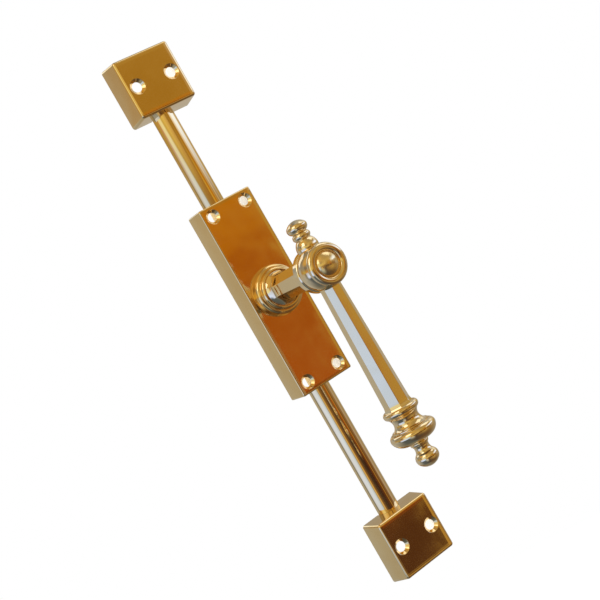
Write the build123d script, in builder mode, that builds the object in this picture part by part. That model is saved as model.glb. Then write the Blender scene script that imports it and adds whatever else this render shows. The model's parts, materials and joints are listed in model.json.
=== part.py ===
from build123d import *
from math import acos, asin, atan, cos, degrees, pi, radians, sin, tan
import os

# Surface-mounted cremone bolt with a lever handle.
# Frame: +X right, +Z up, front towards -Y; the back plane that lies on the door is y = 0,
# and the origin is where the spindle axis meets that plane. All sizes are in millimetres.
# At rest the handle hangs down and both rods are shot into their keeps.

# Case
case_width = 35.6
case_height = 118.0
case_depth = 16.0
case_wall = 2.0
face_thickness = 2.2
front_edge_radius = 1.3
side_edge_radius = 0.8
case_hole_radius = 2.7
case_countersink_radius = 4.2
case_screw_spacing_x = 22.6
case_screw_spacing_z = 105.6

# Keeps
keep_width = 36.3
keep_height = 34.7
keep_wall = 1.8
keep_draft = 1.25
keep_screw_spacing = 23.0
keep_edge_radius = 1.5
keep_hole_radius = 2.95
keep_countersink_radius = 4.6
upper_keep_height = 135.6
lower_keep_height = 159.4

# Half-round rods
rod_radius = 7.0
rod_flat = 1.0
rod_clearance = 0.15
rod_engagement = 13.0
rod_end_chamfer = 0.8

# Rack and pinion
gear_module = 1.5
pinion_teeth = 10
pressure_angle = radians(25)
gear_addendum = 1.2
gear_dedendum = 1.5
gear_backlash = 0.12
gear_back = 1.3
gear_thickness = 7.0
first_rack_tooth = -2
last_rack_tooth = 6
rack_side_x = 15.6
bridge_bottom = 33.5
bridge_top = 39.5
bridge_reach = 5.6
tail_top = 56.0
tail_width = 8.0
tail_thickness = 3.0
rod_start = 41.0
rod_screw_heights = (45.5, 52.0)
rod_screw_radius = 1.25
rod_screw_head_radius = 2.5
rod_screw_length = 7.0
rack_guide_spacing = 22.0
rack_guide_width = 2.0
rack_guide_length = 80.0
rack_guide_gap = 0.2

# Back plate
plate_thickness = 0.9
plate_half_height = 48.0
plate_screw_x = 13.0
plate_screw_z = 44.0
plate_boss_radius = 3.0
plate_screw_radius = 1.15
plate_screw_head_radius = 2.1
plate_screw_length = 9.0

# Spindle and its bearings
spindle_size = 6.0
socket_clearance = 0.05
stud_radius = 2.5
stud_length = 4.2
stud_shoulder_radius = 4.0
hub_radius = 6.0
running_clearance = 0.05
neck_spigot_radius = 8.0
bush_radius = 10.2
rosette_radius = 14.8
rosette_height = 5.5
rosette_screw_offset = 12.4
rosette_screw_depth = 3.2
rosette_screw_radius = 1.3
rosette_screw_head_radius = 2.5
rosette_screw_head_height = 1.6
spindle_start = 5.0
spindle_end = 40.0
hub_pin_distance = 11.0
hub_pin_radius = 1.0

# Handle
neck_foot_width = 14.8
neck_head_width = 15.8
neck_tenon_radius = 4.0
neck_tenon_length = 4.0
grub_screw_distance = 33.0
grub_screw_radius = 2.0
head_back = 63.6
button_seat = 74.6
head_front = 80.4
button_front = 84.0
button_radius = 6.7
handle_reach = 70.7
stem_top_width = 10.9
stem_bottom_width = 14.0
stem_flare_width = 15.6
stem_top = -8.0
flare_start = -80.6
stem_bottom = -83.6
tie_rod_radius = 2.5
tie_rod_top = 24.0
tie_rod_bottom = -112.0
collar_height = 12.1
disc_height = 8.3
button_shank_radius = 2.6

# A turned part's profile is drawn as (radius, distance in front of the back plane).
turning_plane = Plane(origin=(0, 0, 0), x_dir=(1, 0, 0), z_dir=(0, 0, -1))
# Holes drilled from behind start on the back plane and run towards the front.
back_plane = Plane(origin=(0, 0, 0), x_dir=(1, 0, 0), z_dir=(0, 1, 0))
# The handle's turned parts stand on a vertical axis in front of the case.
handle_plane = Plane.XZ.offset(handle_reach)
handle_axis = Axis((0, -handle_reach, 0), (0, 0, 1))

pitch = pi * gear_module
pitch_radius = gear_module * pinion_teeth / 2


def front_plane(distance):
    """A plane parallel to the case's face, this far in front of the back plane."""
    return Plane.XZ.offset(distance)


def level_plane(height):
    """A horizontal plane at this height, centred on the handle's vertical axis."""
    return Plane((0, -handle_reach, height))


def dome_arc(edge_radius, edge_level, top_level):
    """Part of a sphere from a turned part's edge to its axis, drawn inside a BuildLine."""
    rise = top_level - edge_level
    sphere_radius = (edge_radius**2 + rise**2) / (2 * rise)
    half_angle = asin(edge_radius / abs(sphere_radius)) / 2
    middle = (
        abs(sphere_radius) * sin(half_angle),
        top_level - sphere_radius * (1 - cos(half_angle)),
    )
    return ThreePointArc((edge_radius, edge_level), middle, (0, top_level))


def make_gear_case():
    """Hollow case: countersunk corner holes, rod notches, rack ribs, bosses and spindle bore."""
    with BuildPart() as case:
        with BuildSketch(Plane.XZ):
            Rectangle(case_width, case_height)
        extrude(amount=case_depth)
        fillet(case.edges().filter_by(Axis.Y), side_edge_radius)
        fillet(case.faces().sort_by(Axis.Y)[0].edges(), front_edge_radius)
        with BuildSketch(Plane.XZ):
            Rectangle(case_width - 2 * case_wall, case_height - 2 * case_wall)
        extrude(amount=case_depth - face_thickness, mode=Mode.SUBTRACT)
        with BuildSketch(front_plane(plate_thickness)):
            with GridLocations(2 * plate_screw_x, 2 * plate_screw_z, 2, 2):
                Circle(plate_boss_radius)
        extrude(amount=case_depth - face_thickness - plate_thickness)
        rib_start = gear_back + gear_thickness + rack_guide_gap
        with BuildSketch(front_plane(rib_start)):
            with GridLocations(rack_guide_spacing, 0, 2, 1):
                Rectangle(rack_guide_width, rack_guide_length)
        extrude(amount=case_depth - face_thickness - rib_start)
        with BuildSketch(Plane.XY.offset(-case_height / 2 - 1)):
            with Locations((0, -rod_flat)):
                Circle(rod_radius + rod_clearance)
        extrude(amount=case_wall + 1, mode=Mode.SUBTRACT)
        with BuildSketch(Plane.XY.offset(case_height / 2 - case_wall)):
            with Locations((0, -rod_flat)):
                Circle(rod_radius + rod_clearance)
        extrude(amount=case_wall + 1, mode=Mode.SUBTRACT)
        with Locations(front_plane(case_depth)):
            with GridLocations(case_screw_spacing_x, case_screw_spacing_z, 2, 2):
                CounterSinkHole(case_hole_radius, case_countersink_radius, face_thickness + 1, 90)
            Hole(hub_radius + running_clearance, face_thickness + 1)
            with GridLocations(0, 2 * rosette_screw_offset, 1, 2):
                Hole(rosette_screw_radius + 0.1, face_thickness + 1)
        with Locations(back_plane):
            with GridLocations(2 * plate_screw_x, 2 * plate_screw_z, 2, 2):
                Hole(plate_screw_radius, plate_screw_length)
    case.part.label = "gear_case"
    return case.part


def make_case_back_plate():
    """Steel plate that closes the back of the case behind the racks."""
    with BuildPart() as plate:
        with BuildSketch(Plane.XZ):
            Rectangle(case_width - 2 * case_wall - 0.2, 2 * plate_half_height)
        extrude(amount=plate_thickness)
        fillet(plate.edges().filter_by(Axis.Y), 1.0)
        with Locations(back_plane):
            with GridLocations(2 * plate_screw_x, 2 * plate_screw_z, 2, 2):
                CounterSinkHole(plate_screw_radius + 0.1, plate_screw_head_radius, plate_thickness, 90)
            Hole(stud_radius, plate_thickness)
    plate.part.label = "case_back_plate"
    return plate.part


def make_back_plate_screws():
    """Four countersunk screws that hold the back plate to the case's bosses."""
    with BuildPart() as screws:
        with BuildSketch(Plane.XZ):
            with GridLocations(2 * plate_screw_x, 2 * plate_screw_z, 2, 2):
                Circle(plate_screw_head_radius)
        extrude(amount=plate_thickness, taper=45)
        with BuildSketch(Plane.XZ):
            with GridLocations(2 * plate_screw_x, 2 * plate_screw_z, 2, 2):
                Circle(plate_screw_radius)
        extrude(amount=plate_screw_length)
        with BuildSketch(Plane.XZ):
            with GridLocations(2 * plate_screw_x, 2 * plate_screw_z, 2, 2):
                Rectangle(3.0, 0.5)
        extrude(amount=0.4, mode=Mode.SUBTRACT)
    screws.part.label = "back_plate_screws"
    return screws.part


def make_pivot_stud():
    """Stub riveted into the back plate, flush behind, that carries the pinion's rear end."""
    with BuildPart() as stud:
        with BuildSketch(Plane.XZ):
            Circle(stud_radius)
        extrude(amount=stud_length)
        with BuildSketch(front_plane(plate_thickness)):
            Circle(stud_shoulder_radius)
        extrude(amount=0.3)
        chamfer(stud.edges().sort_by(Axis.Y)[0], 0.3)
    stud.part.label = "pivot_stud"
    return stud.part


def make_rosette():
    """Turned base ring on the case's face, with a rounded shoulder."""
    foot = case_depth
    with BuildPart() as rosette:
        with BuildSketch(turning_plane):
            with BuildLine():
                Polyline(
                    (14.4, foot + 3.0), (rosette_radius, foot + 0.8), (rosette_radius, foot),
                    (bush_radius, foot), (bush_radius, foot + rosette_height), (12.6, foot + rosette_height),
                )
                ThreePointArc((12.6, foot + rosette_height), (13.9, foot + 4.7), (14.4, foot + 3.0))
            make_face()
        revolve(axis=Axis.Y)
        with Locations(front_plane(foot + rosette_screw_depth)):
            with GridLocations(0, 2 * rosette_screw_offset, 1, 2):
                Cylinder(rosette_screw_radius, 2 * rosette_screw_depth, mode=Mode.SUBTRACT)
    rosette.part.label = "rosette"
    return rosette.part


def make_rosette_screws():
    """Two screws from inside the case that hold the rosette."""
    head_seat = case_depth - face_thickness
    with BuildPart() as screws:
        with BuildSketch(front_plane(head_seat - rosette_screw_head_height)):
            with GridLocations(0, 2 * rosette_screw_offset, 1, 2):
                Circle(rosette_screw_head_radius)
        extrude(amount=rosette_screw_head_height)
        fillet(screws.edges().group_by(Axis.Y)[-1], 0.5)
        with BuildSketch(front_plane(head_seat)):
            with GridLocations(0, 2 * rosette_screw_offset, 1, 2):
                Circle(rosette_screw_radius)
        extrude(amount=face_thickness + rosette_screw_depth)
        with BuildSketch(front_plane(head_seat - rosette_screw_head_height)):
            with GridLocations(0, 2 * rosette_screw_offset, 1, 2):
                Rectangle(3.6, 0.6)
        extrude(amount=0.8, mode=Mode.SUBTRACT)
    screws.part.label = "rosette_screws"
    return screws.part


def make_neck_bush():
    """Flanged bearing ring that the handle's neck turns in."""
    foot = case_depth
    flange = foot + rosette_height
    with BuildPart() as bush:
        with BuildSketch(turning_plane):
            with BuildLine():
                Polyline(
                    (10.4, flange + 2.7), (10.4, flange + 2.1),
                    (neck_spigot_radius + running_clearance, flange + 2.1),
                    (neck_spigot_radius + running_clearance, foot + 0.1), (bush_radius, foot + 0.1),
                    (bush_radius, flange), (12.0, flange),
                )
                ThreePointArc((12.0, flange), (12.1, flange + 1.6), (10.4, flange + 2.7))
            make_face()
        revolve(axis=Axis.Y)
    bush.part.label = "neck_bush"
    return bush.part


def make_keep(name, height):
    """Hollow cover that takes the rod's end: two countersunk holes and a half-round entry below."""
    taper_angle = degrees(atan(keep_draft / case_depth))
    with BuildPart() as keep:
        with BuildSketch(Plane.XZ):
            with Locations((0, height)):
                Rectangle(keep_width + 2 * keep_draft, keep_height + 2 * keep_draft)
        extrude(amount=case_depth, taper=taper_angle)
        fillet(keep.edges().group_by(Axis.Y)[0] + keep.edges().group_by(Axis.Y)[1], keep_edge_radius)
        with BuildSketch(Plane.XZ):
            with Locations((0, height)):
                Rectangle(
                    keep_width + 2 * keep_draft - 2 * keep_wall,
                    keep_height + 2 * keep_draft - 2 * keep_wall,
                )
        extrude(amount=case_depth - keep_wall, taper=taper_angle, mode=Mode.SUBTRACT)
        with BuildSketch(Plane.XY.offset(height - keep_height / 2 - 2 * keep_draft)):
            with Locations((0, -rod_flat)):
                Circle(rod_radius + rod_clearance)
        extrude(amount=2 * keep_draft + keep_wall + 1.0, mode=Mode.SUBTRACT)
        with Locations(front_plane(case_depth)):
            with Locations((0, height)):
                with GridLocations(keep_screw_spacing, 0, 2, 1):
                    CounterSinkHole(keep_hole_radius, keep_countersink_radius, keep_wall + 1, 90)
    keep.part.label = name
    return keep.part


def make_rod(name, keep_distance):
    """Half-round rod that runs up from the case into its keep; its flat back is cut away for the rack's tail."""
    rod_end = keep_distance - keep_height / 2 + rod_engagement
    with BuildPart() as rod:
        with BuildSketch(Plane.XY.offset(rod_start)):
            with Locations((0, -rod_flat)):
                Circle(rod_radius)
                Rectangle(2 * rod_radius, rod_radius, align=(Align.CENTER, Align.MIN), mode=Mode.SUBTRACT)
        extrude(amount=rod_end - rod_start)
        chamfer(rod.faces().sort_by(Axis.Z)[-1].edges().filter_by(GeomType.CIRCLE), rod_end_chamfer)
        with BuildSketch(Plane.XY.offset(rod_start)):
            with Locations((0, -rod_flat)):
                Rectangle(2 * rod_radius, 2 * (gear_back + tail_thickness - rod_flat))
        extrude(amount=tail_top + 1.0 - rod_start, mode=Mode.SUBTRACT)
        with Locations(back_plane):
            with Locations(*[(0, -screw_height) for screw_height in rod_screw_heights]):
                Hole(rod_screw_radius, rod_screw_length)
    rod.part.label = name
    return rod.part


def make_rack(name):
    """Toothed arm beside the pinion, a bridge over to the rod, and a thin tail behind the rod's end."""
    half_tooth = (pitch / 2 - gear_backlash) / 2
    tip_half = half_tooth - gear_addendum * tan(pressure_angle)
    root_half = half_tooth + gear_dedendum * tan(pressure_angle)
    tip_x = pitch_radius - gear_addendum
    root_x = pitch_radius + gear_dedendum
    arm_bottom = first_rack_tooth * pitch
    with BuildPart() as rack:
        with BuildSketch(front_plane(gear_back)):
            with BuildLine():
                Polyline(
                    (root_x, arm_bottom), (rack_side_x, arm_bottom), (rack_side_x, bridge_top),
                    (-bridge_reach, bridge_top), (-bridge_reach, bridge_bottom), (root_x, bridge_bottom), close=True,
                )
            make_face()
            for tooth in range(first_rack_tooth, last_rack_tooth + 1):
                centre = (tooth + 0.5) * pitch
                with BuildLine():
                    Polyline(
                        (root_x + 0.5, centre - root_half), (root_x, centre - root_half), (tip_x, centre - tip_half),
                        (tip_x, centre + tip_half), (root_x, centre + root_half), (root_x + 0.5, centre + root_half),
                        close=True,
                    )
                make_face()
        extrude(amount=gear_thickness)
        with BuildSketch(front_plane(gear_back)):
            with Locations((0, bridge_top - 1.0)):
                Rectangle(tail_width, tail_top - bridge_top + 1.0, align=(Align.CENTER, Align.MIN))
        extrude(amount=tail_thickness)
        with Locations(back_plane.offset(-gear_back)):
            with Locations(*[(0, -screw_height) for screw_height in rod_screw_heights]):
                CounterSinkHole(rod_screw_radius + running_clearance, rod_screw_head_radius, tail_thickness, 90)
    rack.part.label = name
    return rack.part


def make_rod_screws(name):
    """Two countersunk screws that join the rack's tail to the rod."""
    with BuildPart() as screws:
        for screw_height in rod_screw_heights:
            with BuildSketch(front_plane(gear_back)):
                with Locations((0, screw_height)):
                    Circle(rod_screw_head_radius)
            extrude(amount=rod_screw_head_radius - rod_screw_radius, taper=45)
            with BuildSketch(front_plane(gear_back)):
                with Locations((0, screw_height)):
                    Circle(rod_screw_radius)
            extrude(amount=rod_screw_length - gear_back)
            with BuildSketch(front_plane(gear_back)):
                with Locations((0, screw_height)):
                    Rectangle(3.4, 0.6)
            extrude(amount=0.6, mode=Mode.SUBTRACT)
    screws.part.label = name
    return screws.part


def involute(angle):
    return tan(angle) - angle


def make_drive_pinion():
    """Ten-tooth pinion with a front hub in the case's bore, a square socket and a rear bore for the stud."""
    base_radius = pitch_radius * cos(pressure_angle)
    root_radius = pitch_radius - gear_dedendum
    tip_radius = pitch_radius + gear_addendum
    tooth_half_angle = (pitch / 2 - gear_backlash) / (2 * pitch_radius)

    def flank(radius):
        half_angle = tooth_half_angle + involute(pressure_angle) - involute(acos(base_radius / radius))
        return (radius * cos(half_angle), radius * sin(half_angle))

    foot = flank(base_radius)
    middle = flank((base_radius + tip_radius) / 2)
    tip = flank(tip_radius)
    inner_x = root_radius - 0.6
    with BuildSketch() as tooth:
        with BuildLine():
            Polyline((tip[0], -tip[1]), (tip_radius, 0), tip)
            ThreePointArc(tip, middle, foot)
            Polyline(foot, (inner_x, foot[1]), (inner_x, -foot[1]), (foot[0], -foot[1]))
            ThreePointArc((foot[0], -foot[1]), (middle[0], -middle[1]), (tip[0], -tip[1]))
        make_face()
    with BuildPart() as pinion:
        with BuildSketch(front_plane(gear_back)):
            Circle(root_radius)
            with PolarLocations(0, pinion_teeth):
                add(tooth.sketch)
        extrude(amount=gear_thickness)
        with BuildSketch(front_plane(gear_back + gear_thickness)):
            Circle(hub_radius)
        extrude(amount=case_depth - 0.1 - gear_back - gear_thickness)
        with BuildSketch(front_plane(spindle_start - 0.1)):
            Rectangle(spindle_size + 2 * socket_clearance, spindle_size + 2 * socket_clearance)
        extrude(amount=case_depth, mode=Mode.SUBTRACT)
        with BuildSketch(front_plane(gear_back)):
            Circle(stud_radius + running_clearance)
        extrude(amount=4.0, mode=Mode.SUBTRACT)
        with BuildSketch(Plane.YZ.offset(-hub_radius - 1)):
            with Locations((-hub_pin_distance, 0)):
                Circle(hub_pin_radius)
        extrude(amount=2 * hub_radius + 2, mode=Mode.SUBTRACT)
    pinion.part.label = "drive_pinion"
    return pinion.part


def make_spindle():
    """Square steel spindle from the pinion into the handle's neck, cross-drilled for the hub pin."""
    with BuildPart() as spindle:
        with BuildSketch(front_plane(spindle_start)):
            Rectangle(spindle_size, spindle_size)
        extrude(amount=spindle_end - spindle_start)
        chamfer(spindle.faces().filter_by(Axis.Y).edges(), 0.4)
        with BuildSketch(Plane.YZ.offset(-hub_radius)):
            with Locations((-hub_pin_distance, 0)):
                Circle(hub_pin_radius)
        extrude(amount=2 * hub_radius, mode=Mode.SUBTRACT)
    spindle.part.label = "spindle"
    return spindle.part


def make_hub_pin():
    """Cross pin that holds the spindle in the pinion's hub."""
    with BuildPart() as pin:
        with BuildSketch(Plane.YZ.offset(-hub_radius + 0.3)):
            with Locations((-hub_pin_distance, 0)):
                Circle(hub_pin_radius)
        extrude(amount=2 * hub_radius - 0.6)
        chamfer(pin.edges().filter_by(GeomType.CIRCLE), 0.2)
    pin.part.label = "hub_pin"
    return pin.part


def make_handle_neck():
    """Eight-sided arm with a flared, turned foot, a tenon for the head and a square socket behind."""
    foot = case_depth + 0.3
    flange = case_depth + rosette_height + 2.2
    with BuildPart() as neck:
        with BuildSketch(turning_plane):
            with BuildLine():
                Polyline(
                    (neck_foot_width / 2, flange + 6.4), (0, flange + 6.4), (0, foot),
                    (neck_spigot_radius, foot), (neck_spigot_radius, flange), (10.1, flange),
                    (10.1, flange + 0.5),
                )
                ThreePointArc(
                    (10.1, flange + 0.5), (8.2, flange + 2.9), (neck_foot_width / 2, flange + 6.4)
                )
            make_face()
        revolve(axis=Axis.Y)
        neck_length = head_back - flange
        widening = degrees(atan((neck_head_width - neck_foot_width) / 2 / neck_length))
        with BuildSketch(front_plane(flange)):
            RegularPolygon(neck_foot_width / 2, 8, major_radius=False, rotation=22.5)
        extrude(amount=neck_length, taper=-widening)
        with BuildSketch(front_plane(head_back)):
            Circle(neck_tenon_radius)
        extrude(amount=neck_tenon_length)
        with BuildSketch(front_plane(foot)):
            Rectangle(spindle_size + 2 * socket_clearance, spindle_size + 2 * socket_clearance)
        extrude(amount=spindle_end + 0.5 - foot, mode=Mode.SUBTRACT)
        with BuildSketch(Plane.XY.offset(-neck_head_width / 2 - 1)):
            with Locations((0, -grub_screw_distance)):
                Circle(grub_screw_radius)
        extrude(amount=neck_head_width / 2 + 1, mode=Mode.SUBTRACT)
    neck.part.label = "handle_neck"
    return neck.part


def make_neck_grub_screw():
    """Socket grub screw, from below, that clamps the neck on the spindle."""
    with BuildPart() as screw:
        with BuildSketch(Plane.XY.offset(-neck_foot_width / 2 + 0.2)):
            with Locations((0, -grub_screw_distance)):
                Circle(grub_screw_radius)
        extrude(amount=neck_foot_width / 2 - 0.2 - spindle_size / 2)
        with BuildSketch(Plane.XY.offset(-neck_foot_width / 2 + 0.2)):
            with Locations((0, -grub_screw_distance)):
                RegularPolygon(1.0, 6)
        extrude(amount=1.4, mode=Mode.SUBTRACT)
    screw.part.label = "neck_grub_screw"
    return screw.part


def make_head_form():
    """The turned outside of the handle's head, with nothing bored in it."""
    with BuildPart() as form:
        with BuildSketch(turning_plane):
            with BuildLine():
                Polyline(
                    (0, head_front), (0, head_back), (12.0, head_back), (12.45, 64.1), (12.5, 68.1),
                    (12.0, 68.7),
                )
                ThreePointArc((12.0, 68.7), (12.75, 73.0), (11.2, 78.0))
                ThreePointArc((11.2, 78.0), (10.4, 81.6), (7.0, head_front))
                Line((7.0, head_front), (0, head_front))
            make_face()
        revolve(axis=Axis.Y)
    return form.part


def make_handle_head(head_form):
    """Turned head that joins the neck, the stem and the top finial."""
    with BuildPart() as head:
        add(head_form)
        with BuildSketch(front_plane(head_back)):
            Circle(neck_tenon_radius)
        extrude(amount=neck_tenon_length, mode=Mode.SUBTRACT)
        with BuildSketch(front_plane(button_seat)):
            Circle(button_shank_radius)
        extrude(amount=case_depth, mode=Mode.SUBTRACT)
        with BuildSketch(level_plane(-case_depth)):
            Circle(tie_rod_radius)
        extrude(amount=2 * case_depth, mode=Mode.SUBTRACT)
    head.part.label = "handle_head"
    return head.part


def make_head_button():
    """Domed button screwed into the front of the head."""
    with BuildPart() as button:
        with BuildSketch(turning_plane):
            with BuildLine():
                Polyline(
                    (0, button_front), (0, button_seat), (button_shank_radius, button_seat),
                    (button_shank_radius, head_front), (button_radius, head_front),
                    (button_radius, head_front + 0.5),
                )
                dome_arc(button_radius, head_front + 0.5, button_front)
            make_face()
        revolve(axis=Axis.Y)
    button.part.label = "head_button"
    return button.part


def make_handle_stem(head_form):
    """Eight-sided grip that widens downwards and flares at its lower end."""
    sections = ((stem_top, stem_top_width), (flare_start, stem_bottom_width), (stem_bottom, stem_flare_width))
    with BuildPart() as stem:
        for height, width in sections:
            with BuildSketch(level_plane(height)):
                RegularPolygon(width / 2, 8, major_radius=False, rotation=22.5)
        loft(ruled=True)
        add(head_form, mode=Mode.SUBTRACT)
        with BuildSketch(level_plane(stem_bottom)):
            Circle(tie_rod_radius)
        extrude(amount=stem_top - stem_bottom, mode=Mode.SUBTRACT)
    stem.part.label = "handle_stem"
    return stem.part


def make_stem_collar():
    """Turned collar under the grip: a bead, then a hollow neck that opens onto the disc."""
    top = stem_bottom
    with BuildPart() as collar:
        with BuildSketch(handle_plane):
            with BuildLine():
                Line((tie_rod_radius, top), (9.2, top))
                ThreePointArc((9.2, top), (10.3, top - 1.9), (9.2, top - 3.8))
                Line((9.2, top - 3.8), (8.6, top - 4.3))
                ThreePointArc((8.6, top - 4.3), (7.45, top - 8.0), (9.7, top - 11.4))
                Polyline(
                    (9.7, top - 11.4), (10.4, top - 11.4), (10.4, top - collar_height),
                    (tie_rod_radius, top - collar_height), (tie_rod_radius, top),
                )
            make_face()
        revolve(axis=handle_axis)
    collar.part.label = "stem_collar"
    return collar.part


def make_end_disc():
    """Rounded disc at the lower end of the handle."""
    top = stem_bottom - collar_height
    with BuildPart() as disc:
        with BuildSketch(handle_plane):
            with BuildLine():
                Line((tie_rod_radius, top), (11.0, top))
                ThreePointArc((11.0, top), (12.8, top - 1.4), (13.2, top - 3.5))
                ThreePointArc((13.2, top - 3.5), (11.4, top - 6.6), (7.4, top - disc_height))
                Polyline(
                    (7.4, top - disc_height), (tie_rod_radius, top - disc_height), (tie_rod_radius, top)
                )
            make_face()
        revolve(axis=handle_axis)
    disc.part.label = "end_disc"
    return disc.part


def make_lower_finial():
    """Turned finial below the disc: a small bead, a waist and a ball."""
    top = stem_bottom - collar_height - disc_height
    with BuildPart() as finial:
        with BuildSketch(handle_plane):
            with BuildLine():
                Line((0, top), (4.6, top))
                ThreePointArc((4.6, top), (5.3, top - 1.2), (4.6, top - 2.4))
                Line((4.6, top - 2.4), (4.3, top - 3.0))
                ThreePointArc((4.3, top - 3.0), (4.3, top - 5.0), (4.9, top - 6.6))
                ThreePointArc((4.9, top - 6.6), (6.6, top - 9.6), (5.9, top - 12.2))
                dome_arc(5.9, top - 12.2, top - 15.0)
                Line((0, top - 15.0), (0, top))
            make_face()
        revolve(axis=handle_axis)
        with BuildSketch(level_plane(top)):
            Circle(tie_rod_radius)
        extrude(amount=tie_rod_bottom - top, mode=Mode.SUBTRACT)
    finial.part.label = "lower_finial"
    return finial.part


def make_upper_finial(head_form):
    """Turned urn that stands on the head."""
    with BuildPart() as finial:
        with BuildSketch(handle_plane):
            with BuildLine():
                Polyline((6.1, 10.6), (6.1, 7.0), (tie_rod_radius, 7.0), (tie_rod_radius, 17.2), (4.1, 17.2))
                ThreePointArc((4.1, 17.2), (6.0, 14.2), (6.1, 10.6))
            make_face()
        revolve(axis=handle_axis)
        add(head_form, mode=Mode.SUBTRACT)
    finial.part.label = "upper_finial"
    return finial.part


def make_upper_ring():
    """Turned bead between the urn and the knob."""
    with BuildPart() as ring:
        with BuildSketch(handle_plane):
            with BuildLine():
                Polyline((3.9, 20.9), (tie_rod_radius, 20.9), (tie_rod_radius, 17.2), (4.1, 17.2))
                ThreePointArc((4.1, 17.2), (5.1, 19.1), (3.9, 20.9))
            make_face()
        revolve(axis=handle_axis)
    ring.part.label = "upper_ring"
    return ring.part


def make_upper_knob():
    """Rounded knob at the top of the handle."""
    with BuildPart() as knob:
        with BuildSketch(handle_plane):
            with BuildLine():
                Polyline((0, 27.9), (0, 20.9), (3.9, 20.9), (4.6, 21.4))
                ThreePointArc((4.6, 21.4), (5.8, 23.1), (5.5, 25.3))
                dome_arc(5.5, 25.3, 27.9)
            make_face()
        revolve(axis=handle_axis)
        with BuildSketch(level_plane(20.9)):
            Circle(tie_rod_radius)
        extrude(amount=tie_rod_top - 20.9, mode=Mode.SUBTRACT)
    knob.part.label = "upper_knob"
    return knob.part


def make_tie_rod():
    """Threaded steel rod that draws the finials, head, stem and disc together."""
    with BuildPart() as tie_rod:
        with BuildSketch(level_plane(tie_rod_bottom)):
            Circle(tie_rod_radius)
        extrude(amount=tie_rod_top - tie_rod_bottom)
        chamfer(tie_rod.edges().filter_by(GeomType.CIRCLE), 0.4)
    tie_rod.part.label = "tie_rod"
    return tie_rod.part


def turned_over(piece, name):
    """The same piece turned half a turn about the spindle axis, for the lower end of the bolt."""
    copy = piece.rotate(Axis.Y, 180)
    copy.label = name
    return copy


os.makedirs("parts", exist_ok=True)
head_form = make_head_form()
pieces = [
    make_gear_case(),
    make_case_back_plate(),
    make_back_plate_screws(),
    make_pivot_stud(),
    make_rosette(),
    make_rosette_screws(),
    make_neck_bush(),
    make_keep("upper_keep", upper_keep_height),
    turned_over(make_keep("lower_keep", lower_keep_height), "lower_keep"),
    make_rod("upper_rod", upper_keep_height),
    turned_over(make_rod("lower_rod", lower_keep_height), "lower_rod"),
    make_rack("upper_rack"),
    turned_over(make_rack("lower_rack"), "lower_rack"),
    make_rod_screws("upper_rod_screws"),
    turned_over(make_rod_screws("lower_rod_screws"), "lower_rod_screws"),
    make_drive_pinion(),
    make_spindle(),
    make_hub_pin(),
    make_handle_neck(),
    make_neck_grub_screw(),
    make_handle_head(head_form),
    make_head_button(),
    make_handle_stem(head_form),
    make_stem_collar(),
    make_end_disc(),
    make_lower_finial(),
    make_upper_finial(head_form),
    make_upper_ring(),
    make_upper_knob(),
    make_tie_rod(),
]
for piece in pieces:
    export_step(piece, f"parts/{piece.label}.step")
    print(piece.label, round(piece.volume, 1))
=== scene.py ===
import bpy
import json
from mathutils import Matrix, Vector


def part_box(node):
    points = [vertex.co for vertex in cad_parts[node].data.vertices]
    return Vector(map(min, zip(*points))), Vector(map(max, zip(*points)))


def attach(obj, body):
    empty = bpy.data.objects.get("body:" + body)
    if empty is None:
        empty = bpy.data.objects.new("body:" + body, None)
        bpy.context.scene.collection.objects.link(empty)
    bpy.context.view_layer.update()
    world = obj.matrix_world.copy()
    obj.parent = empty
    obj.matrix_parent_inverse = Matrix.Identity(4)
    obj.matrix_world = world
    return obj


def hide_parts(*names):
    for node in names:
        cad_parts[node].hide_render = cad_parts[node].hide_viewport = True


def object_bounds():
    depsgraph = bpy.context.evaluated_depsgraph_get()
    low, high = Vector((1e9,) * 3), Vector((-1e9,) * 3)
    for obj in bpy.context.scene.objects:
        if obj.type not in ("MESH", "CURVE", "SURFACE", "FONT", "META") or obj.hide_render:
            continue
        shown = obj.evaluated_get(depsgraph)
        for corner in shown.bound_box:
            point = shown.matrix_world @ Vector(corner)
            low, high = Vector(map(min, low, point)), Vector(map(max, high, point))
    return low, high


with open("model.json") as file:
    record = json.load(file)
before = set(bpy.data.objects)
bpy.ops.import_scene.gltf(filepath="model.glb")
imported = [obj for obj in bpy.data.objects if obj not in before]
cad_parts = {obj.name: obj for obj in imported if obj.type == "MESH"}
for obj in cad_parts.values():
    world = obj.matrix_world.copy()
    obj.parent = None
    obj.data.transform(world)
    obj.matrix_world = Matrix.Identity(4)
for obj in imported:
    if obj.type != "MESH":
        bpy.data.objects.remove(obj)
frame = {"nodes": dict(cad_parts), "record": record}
cadBox = [list(corner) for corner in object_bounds()]

import json
import math
import bmesh
import bpy
from mathutils import Matrix, Vector

# Polished brass cremone bolt: case, lever handle, two half-round rods and their box keeps.
# Sizes in the dictionaries are millimetres; meshes are metres in the frame's own axes.
mm = 0.001
scene = bpy.context.scene
scene.view_settings.view_transform = "Standard"

cameraView = {
    "place": (-323.9, -634.9, 14.8),
    "aim": (10.0, -16.0, -11.5),
    "roll": 29.83,   # degrees, clockwise as seen through the lens
    "lens": 74.9,
    "sensor": 36.0,
    "clip": (0.01, 20.0),   # metres
}


def makeCamera(view):
    data = bpy.data.cameras.new("camera")
    data.lens = view["lens"]
    data.sensor_width = view["sensor"]
    data.clip_start, data.clip_end = view["clip"]
    camera = bpy.data.objects.new("camera", data)
    scene.collection.objects.link(camera)
    place = Vector(view["place"]) * mm
    toward = Vector(view["aim"]) * mm - place
    roll = Matrix.Rotation(math.radians(-view["roll"]), 3, "Z")
    turned = toward.to_track_quat("-Z", "Y").to_matrix() @ roll
    camera.matrix_world = Matrix.Translation(place) @ turned.to_4x4()
    scene.camera = camera


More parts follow.
